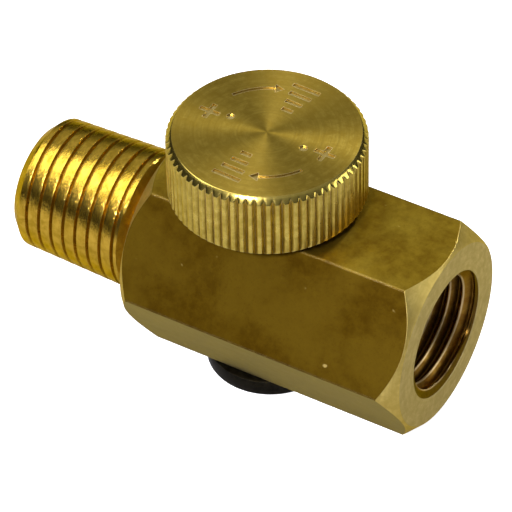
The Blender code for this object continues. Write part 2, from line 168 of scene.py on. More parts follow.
class Lathe:
    """One body round an axis, from rings and helical threads; tag picks the material."""

    def __init__(self, angles, along="Z"):
        self.angles = angles
        self.along = along
        self.verts = []
        self.faces = []
        self.tags = []
        self.tag = 0
        self.first = None
        self.last = None

    def place(self, radius, angle, height):
        a = radius * math.cos(angle)
        b = radius * math.sin(angle)
        point = (a, b, height) if self.along == "Z" else (height, a, b)
        self.verts.append((Vector(point) + SHIFT) * MM)
        return len(self.verts) - 1

    def face(self, *corners):
        kept = []
        for corner in corners:
            if corner not in kept:
                kept.append(corner)
        if len(kept) > 2:
            self.faces.append(kept)
            self.tags.append(self.tag)

    def join(self, ring):
        if self.last is None:
            self.first = ring
        else:
            count = len(self.angles)
            for i in range(count):
                j = (i + 1) % count
                self.face(self.last[i], self.last[j], ring[j], ring[i])
        self.last = ring

    def ring(self, radius, height):
        """radius and height may each be a function of the angle."""
        if not callable(radius) and radius < 1e-6:
            self.join([self.place(0.0, 0.0, height)] * len(self.angles))
            return
        ring = []
        for angle in self.angles:
            r = radius(angle) if callable(radius) else radius
            h = height(angle) if callable(height) else height
            ring.append(self.place(r, angle, h))
        self.join(ring)

    def rings(self, *pairs):
        for radius, height in pairs:
            self.ring(radius, height)

    def thread(self, low, high, pitch, base, shape, radius, rising=True):
        """A helical strip; radius is a function of height, share of depth and angle."""
        keys = [k for k, _ in shape]
        per_turn = len(keys)
        first_turn = math.floor((low - base) / pitch) - 2
        last_turn = math.ceil((high - base) / pitch) + 1
        columns = []
        for angle in self.angles:
            lead = angle / TAU
            known = {}
            column = []
            for turn in range(first_turn, last_turn + 1):
                for key in keys:
                    height = base + pitch * (turn + key + lead)
                    height = min(max(height, low), high)
                    phase = ((height - base) / pitch - lead + 1e-9) % 1.0
                    label = round(height, 6)
                    if label not in known:
                        size = radius(height, shape_share(phase, shape), angle)
                        known[label] = self.place(size, angle, height)
                    column.append(known[label])
            columns.append(column)
        bottom = [column[0] for column in columns]
        top = [column[-1] for column in columns]
        self.join(bottom if rising else top)
        rows = len(columns[0])
        count = len(self.angles)
        for i in range(count):
            here = columns[i]
            after = columns[(i + 1) % count]
            shift = per_turn if i == count - 1 else 0
            for row in range(rows - 1):
                a = after[min(row + shift, rows - 1)]
                b = after[min(row + 1 + shift, rows - 1)]
                self.face(here[row], a, b, here[row + 1])
            for row in range(shift):
                self.face(here[0], after[row], after[row + 1])
        self.last = top if rising else bottom

    def build(self, name, materials=(), loop=False, smooth=32.0):
        if loop:
            self.join(self.first)
        bm = bmesh.new()
        points = [bm.verts.new(v) for v in self.verts]
        for face, tag in zip(self.faces, self.tags):
            try:
                made = bm.faces.new([points[k] for k in face])
                made.material_index = tag
            except ValueError:
                pass
        if not loop:
            for ring in (self.first, self.last):
                if ring[0] != ring[1]:
                    bm.faces.new([points[k] for k in ring]).material_index = self.tag
        return finish(bm, name, materials, smooth)


def finish(bm, name, materials, smooth=32.0):
    """Turns a bmesh into an object in the scene."""
    bmesh.ops.remove_doubles(bm, verts=bm.verts, dist=1e-8)
    bmesh.ops.delete(bm, geom=[v for v in bm.verts if not v.link_faces], context="VERTS")
    bmesh.ops.recalc_face_normals(bm, faces=bm.faces)
    mesh = bpy.data.meshes.new(name)
    bm.to_mesh(mesh)
    bm.free()
    for material in materials:
        mesh.materials.append(material)
    item = bpy.data.objects.new(name, mesh)
    bpy.context.scene.collection.objects.link(item)
    shade(item, smooth)
    return item


def shade(item, smooth):
    for face in item.data.polygons:
        face.use_smooth = True
    item.data.set_sharp_from_angle(angle=math.radians(smooth))


def prism(name, outline, low, high, along="Z", tag=0):
    """A straight solid on a flat outline."""
    bm = bmesh.new()
    rings = []
    for height in (low, high):
        ring = []
        for a, b in outline:
            point = {"Z": (a, b, height), "X": (height, a, b), "Y": (b, height, a)}[along]
            ring.append(bm.verts.new((Vector(point) + SHIFT) * MM))
        rings.append(ring)
    count = len(outline)
    for i in range(count):
        j = (i + 1) % count
        bm.faces.new((rings[0][i], rings[0][j], rings[1][j], rings[1][i]))
    bm.faces.new(rings[0])
    bm.faces.new(rings[1])
    for face in bm.faces:
        face.material_index = tag
    return finish(bm, name, ())


def polygon(radius, count, turned=0.0, centre=(0.0, 0.0)):
    return [
        (centre[0] + radius * math.cos(TAU * i / count + turned),
         centre[1] + radius * math.sin(TAU * i / count + turned))
        for i in range(count)
    ]


def cut(item, tools, smooth=32.0, operation="DIFFERENCE"):
    """Takes each tool out of the item, or adds it with UNION, for good."""
    for tool in tools:
        modifier = item.modifiers.new("cut", "BOOLEAN")
        modifier.operation = operation
        modifier.solver = "EXACT"
        modifier.object = tool
    graph = bpy.context.evaluated_depsgraph_get()
    made = bpy.data.meshes.new_from_object(item.evaluated_get(graph))
    item.modifiers.clear()
    materials = list(item.data.materials)
    slots = [0] * len(made.polygons)
    made.polygons.foreach_get("material_index", slots)
    item.data = made
    made.materials.clear()
    for material in materials:
        made.materials.append(material)
    made.polygons.foreach_set("material_index", slots)
    for tool in tools:
        bpy.data.objects.remove(tool, do_unlink=True)
    shade(item, smooth)


# ---------------------------------------------------------------- materials


class Nodes:
    """Short-hand for a material's node tree."""

    def __init__(self, name):
        self.material = bpy.data.materials.new(name)
        self.material.use_nodes = True
        self.tree = self.material.node_tree
        self.shader = self.tree.nodes["Principled BSDF"]

    def add(self, kind, **settings):
        node = self.tree.nodes.new(kind)
        for key, value in settings.items():
            if hasattr(node, key):
                setattr(node, key, value)
            else:
                node.inputs[key].default_value = value
        return node

    def link(self, source, target):
        self.tree.links.new(source, target)

    def math(self, operation, a, b=0.0):
        node = self.add("ShaderNodeMath", operation=operation)
        for socket, value in zip(node.inputs, (a, b)):
            if isinstance(value, (int, float)):
                socket.default_value = value
            else:
                self.link(value, socket)
        return node.outputs[0]

    def span(self, value, low, high, to_low=0.0, to_high=1.0):
        """A smooth step of value between low and high."""
        node = self.add("ShaderNodeMapRange", clamp=True)
        node.interpolation_type = "SMOOTHSTEP"
        self.link(value, node.inputs["Value"])
        keys = ("From Min", "From Max", "To Min", "To Max")
        for key, number in zip(keys, (low, high, to_low, to_high)):
            node.inputs[key].default_value = number
        return node.outputs["Result"]

    def mix(self, factor, a, b, blend="MIX"):
        node = self.add("ShaderNodeMix", data_type="RGBA", blend_type=blend)
        if isinstance(factor, (int, float)):
            node.inputs[0].default_value = factor
        else:
            self.link(factor, node.inputs[0])
        for socket, value in ((node.inputs[6], a), (node.inputs[7], b)):
            if isinstance(value, tuple):
                socket.default_value = (*value, 1.0)
            else:
                self.link(value, socket)
        return node.outputs[2]

    def place(self, scale=(1.0, 1.0, 1.0)):
        """Place on the part in millimetres, measured from the axis crossing."""
        coords = self.add("ShaderNodeTexCoord")
        mapping = self.add("ShaderNodeMapping")
        mapping.inputs["Scale"].default_value = [1000.0 * s for s in scale]
        mapping.inputs["Location"].default_value = [-a * s for a, s in zip(SHIFT, scale)]
        self.link(coords.outputs["Object"], mapping.inputs["Vector"])
        return mapping.outputs["Vector"]

    def noise(self, vector, scale, detail=4.0, rough=0.55, distortion=0.0):
        node = self.add("ShaderNodeTexNoise")
        node.inputs["Scale"].default_value = scale
        node.inputs["Detail"].default_value = detail
        node.inputs["Roughness"].default_value = rough
        node.inputs["Distortion"].default_value = distortion
        self.link(vector, node.inputs["Vector"])
        return node.outputs["Fac"]

    def radius(self, vector, axis):
        """Distance from an axis, in millimetres."""
        split = self.add("ShaderNodeSeparateXYZ")
        self.link(vector, split.inputs[0])
        others = [k for k in range(3) if k != "XYZ".index(axis)]
        a = self.math("POWER", self.math("ABSOLUTE", split.outputs[others[0]]), 2.0)
        b = self.math("POWER", self.math("ABSOLUTE", split.outputs[others[1]]), 2.0)
        return self.math("SQRT", self.math("ADD", a, b))

    def grooves(self, value, scale, detail):
        node = self.add("ShaderNodeTexNoise", noise_dimensions="1D")
        node.inputs["Scale"].default_value = scale
        node.inputs["Detail"].default_value = detail
        self.link(value, node.inputs["W"])
        return node.outputs["Fac"]

    def edge(self, reach, low, high, long_only=False):
        """Near one on worn outside edges, or only on those that run along X."""
        bevel = self.add("ShaderNodeBevel", samples=6)
        bevel.inputs["Radius"].default_value = reach * MM
        geometry = self.add("ShaderNodeNewGeometry")
        dot = self.add("ShaderNodeVectorMath", operation="DOT_PRODUCT")
        self.link(bevel.outputs[0], dot.inputs[0])
        self.link(geometry.outputs["True Normal"], dot.inputs[1])
        worn = self.span(self.math("SUBTRACT", 1.0, dot.outputs["Value"]), low, high)
        if long_only:
            split = self.add("ShaderNodeSeparateXYZ")
            self.link(bevel.outputs[0], split.inputs[0])
            lean = self.math("ABSOLUTE", split.outputs[0])
            worn = self.math("MULTIPLY", worn, self.span(lean, 0.03, 0.14, 1.0, 0.0))
        return worn

    def hollow(self, distance, low, high):
        """Near one deep in corners and grooves, from ambient occlusion; the materials paint shade
        with it.
        """
        node = self.add("ShaderNodeAmbientOcclusion", samples=6)
        node.inputs["Distance"].default_value = distance * MM
        return self.span(node.outputs["AO"], low, high, 1.0, 0.0)

    def bump(self, height, strength, distance, after=None):
        node = self.add("ShaderNodeBump")
        node.inputs["Strength"].default_value = strength
        node.inputs["Distance"].default_value = distance * MM
        self.link(height, node.inputs["Height"])
        if after is not None:
            self.link(after, node.inputs["Normal"])
        return node.outputs["Normal"]

    def out(self, colour, roughness, normal=None, metallic=1.0, tint=(1.0, 1.0, 1.0), **settings):
        """Fills in the shader; colour and roughness are values or links."""
        targets = self.shader.inputs
        for key, value in (("Base Color", colour), ("Roughness", roughness)):
            if isinstance(value, tuple):
                targets[key].default_value = (*value, 1.0)
            elif isinstance(value, (int, float)):
                targets[key].default_value = value
            else:
                self.link(value, targets[key])
        targets["Metallic"].default_value = metallic
        targets["Specular Tint"].default_value = (*tint, 1.0)
        if normal is not None:
            self.link(normal, targets["Normal"])
        for key, value in settings.items():
            targets[key.replace("_", " ").title()].default_value = value
        return self.material


GOLD_EDGE = (0.95, 0.80, 0.32)


def drawn_brass():
    """Bar stock as drawn: olive, blotched, faint lines along X; painted floor reflection on faces
    that look down, painted light on faces that look up, and long edges rubbed bright with a
    painted highlight.
    """
    n = Nodes("drawn_brass")
    spot = n.place()
    cloud = n.noise(spot, 0.15, 3.0, 0.5, 0.4)
    mottle = n.noise(spot, 0.90, 7.0, 0.66, 0.15)
    grain = n.noise(spot, 5.0, 4.0, 0.62)
    lines = n.noise(n.place((0.06, 3.0, 3.0)), 1.0, 4.0, 0.6)
    nicks = n.noise(n.place((0.7, 1.0, 1.0)), 1.15, 1.0, 0.3)
    colour = n.mix(n.span(mottle, 0.32, 0.68), (0.078, 0.040, 0.0019), (0.122, 0.069, 0.0039))
    colour = n.mix(n.span(cloud, 0.36, 0.64, 0.0, 0.60), colour, (0.170, 0.106, 0.0080))
    colour = n.mix(n.span(grain, 0.50, 0.76, 0.0, 0.45), colour, (0.064, 0.031, 0.0021))
    facing = n.add("ShaderNodeSeparateXYZ")
    n.link(n.add("ShaderNodeNewGeometry").outputs["True Normal"], facing.inputs[0])
    # painted floor reflection: faces that look down are mixed towards a light olive grey
    below = n.span(n.math("MULTIPLY", facing.outputs[2], -1.0), 0.2, 0.45, 0.0, 0.65)
    colour = n.mix(below, colour, (0.42, 0.365, 0.165))
    # painted light: faces that look up, such as the top flat, are multiplied brighter
    above = n.span(facing.outputs[2], 0.85, 0.98)
    colour = n.mix(above, colour, (1.95, 2.25, 3.3), "MULTIPLY")
    colour = n.mix(n.span(nicks, 0.775, 0.84, 0.0, 0.6), colour, (0.74, 0.57, 0.18))
    # long edges rubbed bright, with a painted highlight: the edge mask mixes in a pale yellow
    wear = n.edge(0.26, 0.008, 0.06, long_only=True)
    colour = n.mix(wear, colour, (1.0, 0.86, 0.42))
    uneven = n.span(mottle, 0.3, 0.7, 0.58, 0.52)
    rough = n.math("ADD", uneven, n.span(lines, 0.4, 0.7, -0.01, 0.02))
    rough = n.math("SUBTRACT", rough, n.math("MULTIPLY", wear, 0.28))
    normal = n.bump(grain, 0.20, 0.014)
    normal = n.bump(mottle, 0.10, 0.05, normal)
    normal = n.bump(lines, 0.06, 0.010, normal)
    return n.out(colour, rough, normal, tint=GOLD_EDGE)


def faced_brass(
    name, axis, light, dark, rough_low, rough_high, groove, aniso, worn=0.8, deep=0.0
):
    """A turned face: fine rings round an axis, and painted shade in the hollows where deep is
    set.
    """
    n = Nodes(name)
    spot = n.place()
    away = n.radius(spot, axis)
    ring = n.grooves(away, groove, 4.0)
    broad = n.grooves(away, groove * 0.28, 2.0)
    mottle = n.noise(spot, 1.1, 5.0, 0.65, 0.4)
    cloud = n.noise(spot, 0.22, 3.0)
    grain = n.noise(spot, 7.0, 3.0, 0.7)
    colour = n.mix(n.span(mottle, 0.32, 0.7), dark, light)
    colour = n.mix(n.span(cloud, 0.35, 0.7, 0.0, 0.45), colour, dark)
    colour = n.mix(n.span(ring, 0.35, 0.65, 0.0, 0.35), colour, dark)
    colour = n.mix(n.span(broad, 0.40, 0.62, 0.0, 0.45), colour, dark)
    wear = n.edge(0.12, 0.02, 0.14)
    colour = n.mix(n.math("MULTIPLY", wear, worn), colour, (0.95, 0.79, 0.40))
    if deep:
        # painted shade: darker in corners and grooves, from ambient occlusion
        corner = n.math("MULTIPLY", n.hollow(0.45, 0.45, 0.92), deep)
        colour = n.mix(corner, colour, (0.10, 0.06, 0.01))
    rough = n.span(mottle, 0.3, 0.7, rough_high, rough_low)
    normal = n.bump(ring, 0.45, 0.014)
    normal = n.bump(broad, 0.30, 0.030, normal)
    normal = n.bump(grain, 0.16, 0.014, normal)
    tangent = n.add("ShaderNodeTangent", direction_type="RADIAL", axis=axis)
    n.link(tangent.outputs[0], n.shader.inputs["Tangent"])
    n.shader.inputs["Anisotropic Rotation"].default_value = 0.25
    return n.out(colour, rough, normal, tint=GOLD_EDGE, anisotropic=aniso)


def thread_brass():
    """Freshly cut thread: cleaner, more golden and shinier than the bar."""
    n = Nodes("thread_brass")
    spot = n.place()
    mottle = n.noise(spot, 1.3, 5.0, 0.65, 0.5)
    grain = n.noise(spot, 5.0, 4.0, 0.7)
    chatter = n.noise(n.place((2.4, 1.0, 1.0)), 1.9, 5.0, 0.65, 0.8)
    turned = n.noise(n.place((3.4, 0.12, 0.12)), 1.0, 3.0, 0.6)
    # painted shade in the thread's grooves: an ambient occlusion mask, which also makes them
    # rougher
    hollow_shade = n.hollow(0.50, 0.40, 0.85)
    colour = n.mix(n.span(mottle, 0.3, 0.7), (0.46, 0.285, 0.024), (0.70, 0.455, 0.060))
    colour = n.mix(n.math("MULTIPLY", hollow_shade, 0.50), colour, (0.16, 0.092, 0.010))
    wear = n.edge(0.08, 0.02, 0.16)
    colour = n.mix(n.math("MULTIPLY", wear, 0.45), colour, (0.97, 0.80, 0.26))
    rough = n.math("ADD", n.span(mottle, 0.3, 0.7, 0.23, 0.16), n.math("MULTIPLY", hollow_shade, 0.10))
    normal = n.bump(chatter, 0.55, 0.060)
    normal = n.bump(turned, 0.45, 0.030, normal)
    normal = n.bump(grain, 0.35, 0.016, normal)
    return n.out(colour, rough, normal, tint=GOLD_EDGE)


def port_brass():
    """Inside of the bores: dark brown, painted shade deep in the hollows, painted highlights on
    the thread crests, painted shade at the mouth.
    """
    n = Nodes("port_brass")
    spot = n.place()
    mottle = n.noise(spot, 1.2, 5.0, 0.65, 0.5)
    grain = n.noise(spot, 6.0, 3.0, 0.7)
    # painted shade deep in the bores and their grooves, from ambient occlusion
    hollow_shade = n.hollow(0.8, 0.30, 0.85)
    colour = n.mix(n.span(mottle, 0.3, 0.7), (0.24, 0.115, 0.014), (0.36, 0.200, 0.034))
    colour = n.mix(n.math("MULTIPLY", hollow_shade, 0.9), colour, (0.07, 0.024, 0.002))
    split = n.add("ShaderNodeSeparateXYZ")
    n.link(spot, split.inputs[0])
    taper = n.math("MULTIPLY", n.math("SUBTRACT", PORT_FACE_X, split.outputs[0]), PIPE_SLOPE)
    level = n.math("ADD", n.radius(spot, "X"), taper)
    # painted highlight on the crests of the port's thread, picked out by radius
    crest_r = FEMALE_MAJOR_R - FEMALE_HEIGHT
    crest = n.span(level, crest_r + 0.06, crest_r + 0.16, 1.0, 0.0)
    crest = n.math("MULTIPLY", crest, n.span(level, crest_r - 0.05, crest_r - 0.02))
    colour = n.mix(n.math("MULTIPLY", crest, 0.75), colour, (0.85, 0.66, 0.34))
    # painted shade at the port's mouth, over its last fraction of a millimetre
    mouth = n.span(split.outputs[0], PORT_FACE_X - 0.30, PORT_FACE_X - 0.22, 0.0, 0.85)
    colour = n.mix(mouth, colour, (0.085, 0.050, 0.012))
    normal = n.bump(grain, 0.25, 0.02)
    return n.out(colour, n.span(mottle, 0.3, 0.7, 0.46, 0.34), normal, tint=GOLD_EDGE)


def knurled_brass():
    """Knurl: painted shade in the grooves, rubbed bright along the teeth."""
    n = Nodes("knurled_brass")
    spot = n.place()
    mottle = n.noise(spot, 1.0, 5.0, 0.65, 0.4)
    grain = n.noise(n.place((1.0, 1.0, 0.35)), 6.0, 4.0, 0.7)
    # painted shade in the knurl's grooves, from ambient occlusion
    hollow_shade = n.hollow(0.45, 0.35, 0.9)
    colour = n.mix(n.span(mottle, 0.32, 0.7), (0.48, 0.35, 0.060), (0.70, 0.54, 0.12))
    colour = n.mix(n.math("MULTIPLY", hollow_shade, 0.75), colour, (0.15, 0.105, 0.02))
    wear = n.edge(0.07, 0.02, 0.16)
    colour = n.mix(n.math("MULTIPLY", wear, 0.8), colour, (0.98, 0.84, 0.47))
    rough = n.math("ADD", n.span(mottle, 0.3, 0.7, 0.36, 0.26), n.math("MULTIPLY", hollow_shade, 0.2))
    return n.out(colour, rough, n.bump(grain, 0.3, 0.02), tint=GOLD_EDGE)


def plain(name, light, dark, low, high, metallic=0.0, scale=2.0, bump=0.02, wear_to=None):
    """Blackened steel, rubber and plastic: mottled colour and a fine uneven surface."""
    n = Nodes(name)
    spot = n.place()
    mottle = n.noise(spot, scale, 5.0, 0.65)
    grain = n.noise(spot, scale * 5.0, 3.0, 0.7)
    colour = n.mix(n.span(mottle, 0.3, 0.7), dark, light)
    if wear_to:
        colour = n.mix(n.math("MULTIPLY", n.edge(0.10, 0.02, 0.16), 0.7), colour, wear_to)
    rough = n.span(mottle, 0.3, 0.7, low, high)
    return n.out(colour, rough, n.bump(grain, 0.3, bump), metallic)


DRAWN = drawn_brass()
FACED = faced_brass(
    "faced_brass", "X", (0.65, 0.545, 0.280), (0.47, 0.385, 0.172), 0.38, 0.46, 5.0, 0.2, 0.15
)
CONE = faced_brass(
    "cone_brass", "X", (0.72, 0.57, 0.175), (0.52, 0.39, 0.10), 0.42, 0.50, 5.0, 0.0, 0.10
)
THREAD = thread_brass()
PORT = port_brass()
KNURL = knurled_brass()
KNOB_FACE = faced_brass(
    "knob_face", "Z", (0.49, 0.352, 0.062), (0.31, 0.208, 0.028), 0.34, 0.42, 5.0, 0.76
)
RIM = faced_brass(
    "knob_rim", "Z", (0.90, 0.71, 0.17), (0.66, 0.50, 0.10), 0.15, 0.21, 5.0, 0.0, 0.3
)
# the stamped marks; the last number paints shade in their corners
MARK = faced_brass(
    "mark_brass", "Z", (0.98, 0.80, 0.33), (0.50, 0.36, 0.09), 0.24, 0.38, 5.0, 0.0, 0.6, 0.35
)
BUSH = faced_brass(
    "bush_brass", "Z", (0.66, 0.48, 0.15), (0.42, 0.29, 0.07), 0.26, 0.38, 6.0, 0.3
)
STEEL = plain("ground_steel", (0.66, 0.66, 0.65), (0.46, 0.46, 0.46), 0.22, 0.34, 1.0)
BLACK = plain(
    "blackened_steel", (0.024, 0.021, 0.014), (0.010, 0.009, 0.006), 0.38, 0.54, 1.0,
    1.6, 0.02, (0.15, 0.14, 0.10),
)
RUBBER = plain("black_rubber", (0.030, 0.030, 0.031), (0.016, 0.016, 0.017), 0.55, 0.75)
PLASTIC = plain("white_plastic", (0.80, 0.79, 0.75), (0.68, 0.67, 0.63), 0.40, 0.55)


# ---------------------------------------------------------------- pieces


def from_corner(angle):
    """Angle from the nearest of a hexagon's corners."""
    return (angle + SIXTH / 2.0) % SIXTH - SIXTH / 2.0


def hexagon_r(angle, half_flats):
    """Distance from the axis to a sharp hexagon."""
    return half_flats / math.cos(math.pi / 6.0 - abs(from_corner(angle)))


def hex_reach(angle):
    """Distance from the axis to the bar's surface, its long edges slightly rounded."""
    off = from_corner(angle)
    corner = HALF_FLATS / math.cos(math.pi / 6.0)
    flat = hexagon_r(angle, HALF_FLATS)
    centre = corner - EDGE_ROUND / math.sin(SIXTH)
    inside = EDGE_ROUND**2 - (centre * math.sin(off)) ** 2
    if abs(off) < math.asin(0.5 * EDGE_ROUND / corner) * 1.02 and inside > 0.0:
        return min(flat, centre * math.cos(off) + math.sqrt(inside))
    return flat


def hex_angles(per_side):
    """Angles round the bar, closer together at its rounded edges."""
    angles = []
    for corner in range(6):
        base = TAU * corner / 6.0
        extra = [math.radians(d) for d in (-1.6, -0.73, -0.48, -0.24, 0.24, 0.48, 0.73, 1.6)]
        angles += [base + e for e in extra] + [base]
        angles += [base + TAU * k / (6.0 * per_side) for k in range(1, per_side)]
    return sorted(a % TAU for a in angles)


def build_body():
    tool = Lathe(hex_angles(20), "X")
    neck_end = SHOULDER_X - MALE_NECK_LENGTH

    def male(x, share, angle):
        crest = MALE_CREST_R + PIPE_SLOPE * (x - MALE_END_X)
        full = crest - MALE_HEIGHT * (1.0 - share)
        start = MALE_END_RING_R + 1.0 * (x - MALE_END_X)
        run_out = MALE_NECK_R + 1.4 * (neck_end - x)
        return min(full, start, max(run_out, MALE_NECK_R))

    def female(x, share, angle):
        major = FEMALE_MAJOR_R - PIPE_SLOPE * (PORT_FACE_X - x)
        full = major - FEMALE_HEIGHT * (1.0 - share)
        sink = FEMALE_SINK_R - 4.0 * (PORT_FACE_X - 0.05 - x)
        run_out = FEMALE_DRILL_R + 1.2 * (x - PORT_FACE_X + FEMALE_DEPTH)
        return max(min(full, run_out), sink, FEMALE_DRILL_R)

    # the male end's bore, its end face and thread, then the shoulder
    tool.tag = 3
    tool.rings((0.0, -4.95), (1.9, -6.06), (3.72, -7.18), (3.75, -7.25), (3.75, -25.24))
    tool.tag = 2
    tool.rings((3.82, -25.33), (4.00, -25.55), (4.08, -25.59), (4.2, MALE_END_X))
    tool.rings((5.3, MALE_END_X), (5.52, MALE_END_X))
    tool.thread(MALE_END_X, neck_end, PIPE_PITCH, MALE_END_X, MALE_SHAPE, male)
    tool.rings((MALE_NECK_R, neck_end + 0.1), (MALE_NECK_R, SHOULDER_X - 0.12))
    tool.tag = 1
    tool.rings((MALE_NECK_R + 0.12, SHOULDER_X), (7.6, SHOULDER_X))
    tool.rings((SHOULDER_RING_R - 0.07, SHOULDER_X), (SHOULDER_RING_R + 0.03, SHOULDER_X + 0.05))

    def cone(face, ring, sign, back=0.02):
        """The chamfer's outer border, a little inside the flats."""
        tool.ring(
            lambda a: hex_reach(a) - back,
            lambda a: face + sign * (hex_reach(a) - ring - back),
        )

    # the hexagon between its two turned chamfers
    tool.tag = 4
    cone(SHOULDER_X, SHOULDER_RING_R, 1.0)
    tool.tag = 0
    tool.ring(hex_reach, lambda a: SHOULDER_X + hex_reach(a) - SHOULDER_RING_R + 0.03)
    tool.ring(hex_reach, -9.0)
    tool.ring(hex_reach, 17.1)
    tool.ring(hex_reach, lambda a: PORT_FACE_X - hex_reach(a) + PORT_RING_R - 0.03)
    tool.tag = 4
    cone(PORT_FACE_X, PORT_RING_R, -1.0)
    tool.rings((PORT_RING_R + 0.03, PORT_FACE_X - 0.05), (PORT_RING_R - 0.07, PORT_FACE_X))
    # the port's face and thread, down to its drilled end
    tool.tag = 1
    tool.rings((8.0, PORT_FACE_X), (FEMALE_SINK_R + 0.10, PORT_FACE_X))
    tool.ring(FEMALE_SINK_R + 0.01, PORT_FACE_X - 0.04)
    tool.tag = 3
    tool.thread(
        PORT_FACE_X - FEMALE_DEPTH, PORT_FACE_X - 0.06, PIPE_PITCH,
        PORT_FACE_X - FEMALE_DEPTH, FEMALE_SHAPE, female, rising=False,
    )
    tool.rings((FEMALE_DRILL_R, FEMALE_DRILL_X), (2.7, 5.95), (0.0, 4.30))
    body = tool.build("valve_body", (DRAWN, FACED, THREAD, PORT, CONE), smooth=SHARP_BODY)
    cut(body, [top_bore(), bottom_bore(), *passages()], SHARP_BODY)
    place_piece(body, "body", "valve_body")


def screw(crest, pitch, gap=0.0):
    """The radius function of a straight screw thread."""
    return lambda z, share, angle: crest + gap - SCREW_DEPTH * pitch * (1.0 - share)


def top_bore():
    """The stem's hole from above, threaded for the gland bush."""
    tool = Lathe(even(64))
    tool.tag = 3
    tool.rings((0.0, 0.3), (2.4, 0.3), (2.4, 2.75), (3.9, 2.75), (3.9, 4.4))
    thread = screw(BUSH_THREAD_R, SCREW_PITCH, SCREW_PLAY)
    tool.thread(4.4, 8.325, SCREW_PITCH, 4.5, SCREW_SHAPE, thread)
    tool.rings((5.0, 8.325), (5.0, 10.5), (0.0, 10.5))
    return tool.build("top_bore")


def bottom_bore():
    """The seat's hole from below, threaded for the plug."""
    tool = Lathe(even(64))
    tool.tag = 3
    tool.rings((0.0, -10.5), (5.0, -10.5), (5.0, -8.325))
    thread = screw(PLUG_THREAD_R, SCREW_PITCH, SCREW_PLAY)
    tool.thread(-8.325, -4.9, SCREW_PITCH, -8.2, SCREW_SHAPE, thread)
    tool.rings((3.3, -4.9), (3.3, -1.65), (3.21, -1.65), (3.21, 0.55), (0.0, 0.55))
    return tool.build("bottom_bore")


def passages():
    """Small drilled ways, in from the male end below the seat and out above it."""
    outlet = prism("outlet", polygon(PASSAGE_R, 32, 0.0, (0.0, 1.7)), 1.0, 7.0, "X", 3)
    inlet = prism("inlet", polygon(PASSAGE_R, 32, 0.0, (0.0, -2.6)), -7.4, -1.0, "X", 3)
    return outlet, inlet


def place_piece(item, node, body):
    """A piece stands in for a CAD node, which it hides, and rides on a body."""
    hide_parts(node)
    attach(item, body)


def build_bush():
    tool = Lathe(even(72))
    tool.rings((0.0, 3.0), (3.5, 3.0), (3.7, 3.2), (3.7, 4.5))
    tool.thread(4.5, 8.2, SCREW_PITCH, 4.5, SCREW_SHAPE, screw(BUSH_THREAD_R, SCREW_PITCH))
    tool.rings((3.65, 8.2), (3.65, 10.0), (0.0, 10.0))
    bush = tool.build("gland_bush_piece", (BUSH,))
    head = Lathe(even(72))
    corner = 2.0 * BUSH_HALF_FLATS / math.sqrt(3.0)

    def hexagon(angle):
        return hexagon_r(angle, BUSH_HALF_FLATS)

    head.rings((0.0, 9.62), (4.7, 9.62))
    head.ring(lambda a: min(hexagon(a), corner - 0.02), 9.66)
    head.ring(hexagon, lambda a: BUSH_TOP - 0.02 - 0.6 * max(0.0, hexagon(a) - 4.95))
    head.rings((4.9, BUSH_TOP - 0.01), (0.0, BUSH_TOP))
    cut(bush, [head.build("head")], operation="UNION")
    bore = Lathe(even(48))
    bore.rings((0.0, 2.5), (2.95, 2.5), (2.95, 8.4))
    thread = screw(STEM_THREAD_R, STEM_PITCH, STEM_PLAY)
    bore.thread(8.4, 11.7, STEM_PITCH, STEM_THREAD_Z, SCREW_SHAPE, thread)
    bore.ring(0.0, 11.7)
    cut(bush, [bore.build("bore")])
    place_piece(bush, "gland_bush", "valve_body")


def build_stem():
    tool = Lathe(even(64))
    tool.rings((0.0, -1.4), (0.25, -1.38), (0.31, -1.32), (1.57, 2.44), (1.6, 2.55))
    tool.rings((1.6, 3.30), (2.65, 3.30), (2.75, 3.38), (2.75, 3.6), (1.75, 3.6))
    tool.rings((1.75, 5.3), (2.75, 5.3), (2.75, 5.6), (1.9, 5.6), (1.9, STEM_THREAD_Z))
    thread = screw(STEM_THREAD_R, STEM_PITCH)
    tool.thread(STEM_THREAD_Z, 11.8, STEM_PITCH, STEM_THREAD_Z, SCREW_SHAPE, thread)
    tool.rings((2.3, 11.8), (2.3, 14.5), (2.0, 14.8), (0.0, 14.8))
    stem = tool.build("stem_piece", (STEEL,))
    flat = prism("flat", [(-3.0, 2.05), (3.0, 2.05), (3.0, 4.0), (-3.0, 4.0)], 12.3, 16.0)
    cut(stem, [flat])
    place_piece(stem, "stem", "knob_and_stem")


def knurl_radius(angle):
    """Straight knurl: broad rounded teeth with narrow grooves between them."""
    tooth = (angle * KNOB_TEETH / TAU) % 1.0
    away = abs(2.0 * tooth - 1.0)
    dip = max(0.0, (away - 0.42) / 0.58)
    return KNOB_R - (KNOB_R - KNOB_ROOT_R) * dip**1.2 - 0.05 * away * away


def stroke(points, width, low, high):
    """A bar of even width along a path, as a solid to stamp with."""
    left = []
    right = []
    for k, (x, y) in enumerate(points):
        ax, ay = points[max(k - 1, 0)]
        bx, by = points[min(k + 1, len(points) - 1)]
        length = math.hypot(bx - ax, by - ay)
        nx, ny = -(by - ay) / length, (bx - ax) / length
        half = width / 2.0
        left.append((x + nx * half, y + ny * half))
        right.append((x - nx * half, y - ny * half))
    return prism("mark", left + right[::-1], low, high, "Z", 2)


def polar(radius, degrees):
    a = math.radians(degrees)
    return radius * math.cos(a), radius * math.sin(a)


